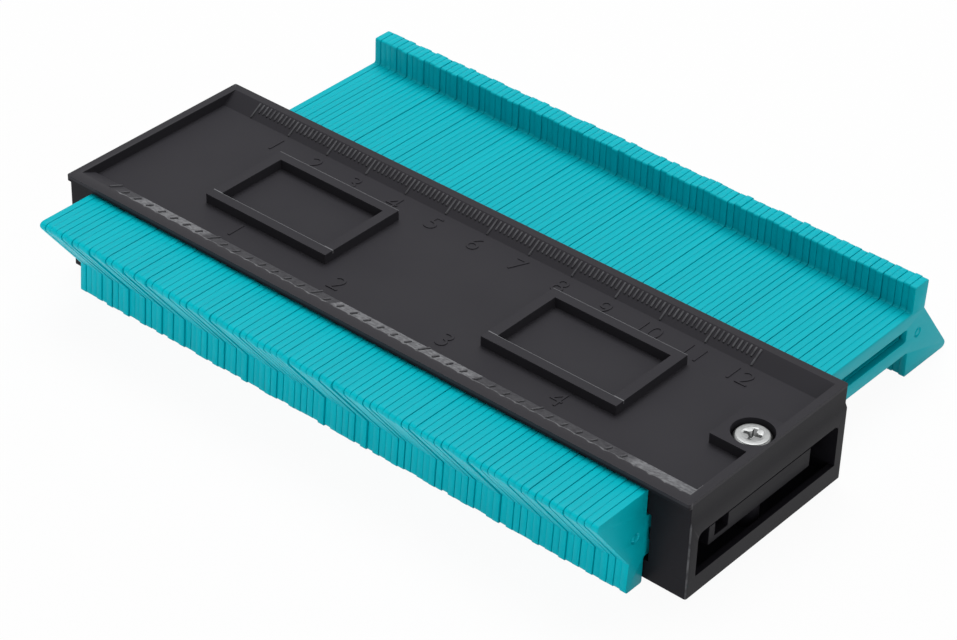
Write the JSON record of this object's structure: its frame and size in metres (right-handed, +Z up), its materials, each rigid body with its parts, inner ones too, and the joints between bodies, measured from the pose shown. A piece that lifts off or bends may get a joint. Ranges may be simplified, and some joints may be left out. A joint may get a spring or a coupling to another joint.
{
  "type": "contour gauge",
  "caption": "Contour gauge: a flat black moulded body through which a row of thin teal plastic leaves slides to copy and transfer a profile.",
  "frame": {"origin": "centre of the base plate's flat underside", "axes": "+X along the body, towards the end with the screw and the window; +Y along the leaves, towards the rear, where they stick out at rest; +Z up, out of the tray with the scales"},
  "size_m": [0.146, 0.1052, 0.0213],
  "materials": {
    "body_abs": "black moulded ABS, fine satin texture",
    "leaf_abs": "teal moulded ABS, semi-gloss",
    "screw_zinc": "bright zinc-plated steel"
  },
  "bodies": {
    "body": {"base_plate": "body_abs", "top_cover": "body_abs", "guide_bar": "body_abs", "cover_screw": "screw_zinc"},
    "leaf_pair_01": {"leaf_pair_01": "leaf_abs"},
    "leaf_pair_02": {"leaf_pair_02": "leaf_abs"},
    "leaf_pair_03": {"leaf_pair_03": "leaf_abs"},
    "leaf_pair_04": {"leaf_pair_04": "leaf_abs"},
    "leaf_pair_05": {"leaf_pair_05": "leaf_abs"},
    "leaf_pair_06": {"leaf_pair_06": "leaf_abs"},
    "leaf_pair_07": {"leaf_pair_07": "leaf_abs"},
    "leaf_pair_08": {"leaf_pair_08": "leaf_abs"},
    "leaf_pair_09": {"leaf_pair_09": "leaf_abs"},
    "leaf_pair_10": {"leaf_pair_10": "leaf_abs"},
    "leaf_pair_11": {"leaf_pair_11": "leaf_abs"},
    "leaf_pair_12": {"leaf_pair_12": "leaf_abs"},
    "leaf_pair_13": {"leaf_pair_13": "leaf_abs"},
    "leaf_pair_14": {"leaf_pair_14": "leaf_abs"},
    "leaf_pair_15": {"leaf_pair_15": "leaf_abs"},
    "leaf_pair_16": {"leaf_pair_16": "leaf_abs"},
    "leaf_pair_17": {"leaf_pair_17": "leaf_abs"},
    "leaf_pair_18": {"leaf_pair_18": "leaf_abs"},
    "leaf_pair_19": {"leaf_pair_19": "leaf_abs"},
    "leaf_pair_20": {"leaf_pair_20": "leaf_abs"},
    "leaf_pair_21": {"leaf_pair_21": "leaf_abs"},
    "leaf_pair_22": {"leaf_pair_22": "leaf_abs"},
    "leaf_pair_23": {"leaf_pair_23": "leaf_abs"},
    "leaf_pair_24": {"leaf_pair_24": "leaf_abs"},
    "leaf_pair_25": {"leaf_pair_25": "leaf_abs"},
    "leaf_pair_26": {"leaf_pair_26": "leaf_abs"},
    "leaf_pair_27": {"leaf_pair_27": "leaf_abs"},
    "leaf_pair_28": {"leaf_pair_28": "leaf_abs"},
    "leaf_pair_29": {"leaf_pair_29": "leaf_abs"},
    "leaf_pair_30": {"leaf_pair_30": "leaf_abs"},
    "leaf_pair_31": {"leaf_pair_31": "leaf_abs"},
    "leaf_pair_32": {"leaf_pair_32": "leaf_abs"},
    "leaf_pair_33": {"leaf_pair_33": "leaf_abs"},
    "leaf_pair_34": {"leaf_pair_34": "leaf_abs"},
    "leaf_pair_35": {"leaf_pair_35": "leaf_abs"},
    "leaf_pair_36": {"leaf_pair_36": "leaf_abs"},
    "leaf_pair_37": {"leaf_pair_37": "leaf_abs"},
    "leaf_pair_38": {"leaf_pair_38": "leaf_abs"},
    "leaf_pair_39": {"leaf_pair_39": "leaf_abs"},
    "leaf_pair_40": {"leaf_pair_40": "leaf_abs"},
    "leaf_pair_41": {"leaf_pair_41": "leaf_abs"},
    "leaf_pair_42": {"leaf_pair_42": "leaf_abs"},
    "leaf_pair_43": {"leaf_pair_43": "leaf_abs"},
    "leaf_pair_44": {"leaf_pair_44": "leaf_abs"},
    "leaf_pair_45": {"leaf_pair_45": "leaf_abs"}
  },
  "joints": [
    {"name": "leaf_slide_01", "type": "slide", "parent": "body", "child": "leaf_pair_01", "axis": [0, 1, 0], "range_m": [-0.0332, 0]},
    {"name": "leaf_slide_02", "type": "slide", "parent": "body", "child": "leaf_pair_02", "axis": [0, 1, 0], "range_m": [-0.0332, 0]},
    {"name": "leaf_slide_03", "type": "slide", "parent": "body", "child": "leaf_pair_03", "axis": [0, 1, 0], "range_m": [-0.0332, 0]},
    {"name": "leaf_slide_04", "type": "slide", "parent": "body", "child": "leaf_pair_04", "axis": [0, 1, 0], "range_m": [-0.0332, 0]},
    {"name": "leaf_slide_05", "type": "slide", "parent": "body", "child": "leaf_pair_05", "axis": [0, 1, 0], "range_m": [-0.0332, 0]},
    {"name": "leaf_slide_06", "type": "slide", "parent": "body", "child": "leaf_pair_06", "axis": [0, 1, 0], "range_m": [-0.0332, 0]},
    {"name": "leaf_slide_07", "type": "slide", "parent": "body", "child": "leaf_pair_07", "axis": [0, 1, 0], "range_m": [-0.0332, 0]},
    {"name": "leaf_slide_08", "type": "slide", "parent": "body", "child": "leaf_pair_08", "axis": [0, 1, 0], "range_m": [-0.0332, 0]},
    {"name": "leaf_slide_09", "type": "slide", "parent": "body", "child": "leaf_pair_09", "axis": [0, 1, 0], "range_m": [-0.0332, 0]},
    {"name": "leaf_slide_10", "type": "slide", "parent": "body", "child": "leaf_pair_10", "axis": [0, 1, 0], "range_m": [-0.0332, 0]},
    {"name": "leaf_slide_11", "type": "slide", "parent": "body", "child": "leaf_pair_11", "axis": [0, 1, 0], "range_m": [-0.0332, 0]},
    {"name": "leaf_slide_12", "type": "slide", "parent": "body", "child": "leaf_pair_12", "axis": [0, 1, 0], "range_m": [-0.0332, 0]},
    {"name": "leaf_slide_13", "type": "slide", "parent": "body", "child": "leaf_pair_13", "axis": [0, 1, 0], "range_m": [-0.0332, 0]},
    {"name": "leaf_slide_14", "type": "slide", "parent": "body", "child": "leaf_pair_14", "axis": [0, 1, 0], "range_m": [-0.0332, 0]},
    {"name": "leaf_slide_15", "type": "slide", "parent": "body", "child": "leaf_pair_15", "axis": [0, 1, 0], "range_m": [-0.0332, 0]},
    {"name": "leaf_slide_16", "type": "slide", "parent": "body", "child": "leaf_pair_16", "axis": [0, 1, 0], "range_m": [-0.0332, 0]},
    {"name": "leaf_slide_17", "type": "slide", "parent": "body", "child": "leaf_pair_17", "axis": [0, 1, 0], "range_m": [-0.0332, 0]},
    {"name": "leaf_slide_18", "type": "slide", "parent": "body", "child": "leaf_pair_18", "axis": [0, 1, 0], "range_m": [-0.0332, 0]},
    {"name": "leaf_slide_19", "type": "slide", "parent": "body", "child": "leaf_pair_19", "axis": [0, 1, 0], "range_m": [-0.0332, 0]},
    {"name": "leaf_slide_20", "type": "slide", "parent": "body", "child": "leaf_pair_20", "axis": [0, 1, 0], "range_m": [-0.0332, 0]},
    {"name": "leaf_slide_21", "type": "slide", "parent": "body", "child": "leaf_pair_21", "axis": [0, 1, 0], "range_m": [-0.0332, 0]},
    {"name": "leaf_slide_22", "type": "slide", "parent": "body", "child": "leaf_pair_22", "axis": [0, 1, 0], "range_m": [-0.0332, 0]},
    {"name": "leaf_slide_23", "type": "slide", "parent": "body", "child": "leaf_pair_23", "axis": [0, 1, 0], "range_m": [-0.0332, 0]},
    {"name": "leaf_slide_24", "type": "slide", "parent": "body", "child": "leaf_pair_24", "axis": [0, 1, 0], "range_m": [-0.0332, 0]},
    {"name": "leaf_slide_25", "type": "slide", "parent": "body", "child": "leaf_pair_25", "axis": [0, 1, 0], "range_m": [-0.0332, 0]},
    {"name": "leaf_slide_26", "type": "slide", "parent": "body", "child": "leaf_pair_26", "axis": [0, 1, 0], "range_m": [-0.0332, 0]},
    {"name": "leaf_slide_27", "type": "slide", "parent": "body", "child": "leaf_pair_27", "axis": [0, 1, 0], "range_m": [-0.0332, 0]},
    {"name": "leaf_slide_28", "type": "slide", "parent": "body", "child": "leaf_pair_28", "axis": [0, 1, 0], "range_m": [-0.0332, 0]},
    {"name": "leaf_slide_29", "type": "slide", "parent": "body", "child": "leaf_pair_29", "axis": [0, 1, 0], "range_m": [-0.0332, 0]},
    {"name": "leaf_slide_30", "type": "slide", "parent": "body", "child": "leaf_pair_30", "axis": [0, 1, 0], "range_m": [-0.0332, 0]},
    {"name": "leaf_slide_31", "type": "slide", "parent": "body", "child": "leaf_pair_31", "axis": [0, 1, 0], "range_m": [-0.0332, 0]},
    {"name": "leaf_slide_32", "type": "slide", "parent": "body", "child": "leaf_pair_32", "axis": [0, 1, 0], "range_m": [-0.0332, 0]},
    {"name": "leaf_slide_33", "type": "slide", "parent": "body", "child": "leaf_pair_33", "axis": [0, 1, 0], "range_m": [-0.0332, 0]},
    {"name": "leaf_slide_34", "type": "slide", "parent": "body", "child": "leaf_pair_34", "axis": [0, 1, 0], "range_m": [-0.0332, 0]},
    {"name": "leaf_slide_35", "type": "slide", "parent": "body", "child": "leaf_pair_35", "axis": [0, 1, 0], "range_m": [-0.0332, 0]},
    {"name": "leaf_slide_36", "type": "slide", "parent": "body", "child": "leaf_pair_36", "axis": [0, 1, 0], "range_m": [-0.0332, 0]},
    {"name": "leaf_slide_37", "type": "slide", "parent": "body", "child": "leaf_pair_37", "axis": [0, 1, 0], "range_m": [-0.0332, 0]},
    {"name": "leaf_slide_38", "type": "slide", "parent": "body", "child": "leaf_pair_38", "axis": [0, 1, 0], "range_m": [-0.0332, 0]},
    {"name": "leaf_slide_39", "type": "slide", "parent": "body", "child": "leaf_pair_39", "axis": [0, 1, 0], "range_m": [-0.0332, 0]},
    {"name": "leaf_slide_40", "type": "slide", "parent": "body", "child": "leaf_pair_40", "axis": [0, 1, 0], "range_m": [-0.0332, 0]},
    {"name": "leaf_slide_41", "type": "slide", "parent": "body", "child": "leaf_pair_41", "axis": [0, 1, 0], "range_m": [-0.0332, 0]},
    {"name": "leaf_slide_42", "type": "slide", "parent": "body", "child": "leaf_pair_42", "axis": [0, 1, 0], "range_m": [-0.0332, 0]},
    {"name": "leaf_slide_43", "type": "slide", "parent": "body", "child": "leaf_pair_43", "axis": [0, 1, 0], "range_m": [-0.0332, 0]},
    {"name": "leaf_slide_44", "type": "slide", "parent": "body", "child": "leaf_pair_44", "axis": [0, 1, 0], "range_m": [-0.0332, 0]},
    {"name": "leaf_slide_45", "type": "slide", "parent": "body", "child": "leaf_pair_45", "axis": [0, 1, 0], "range_m": [-0.0332, 0]}
  ]
}
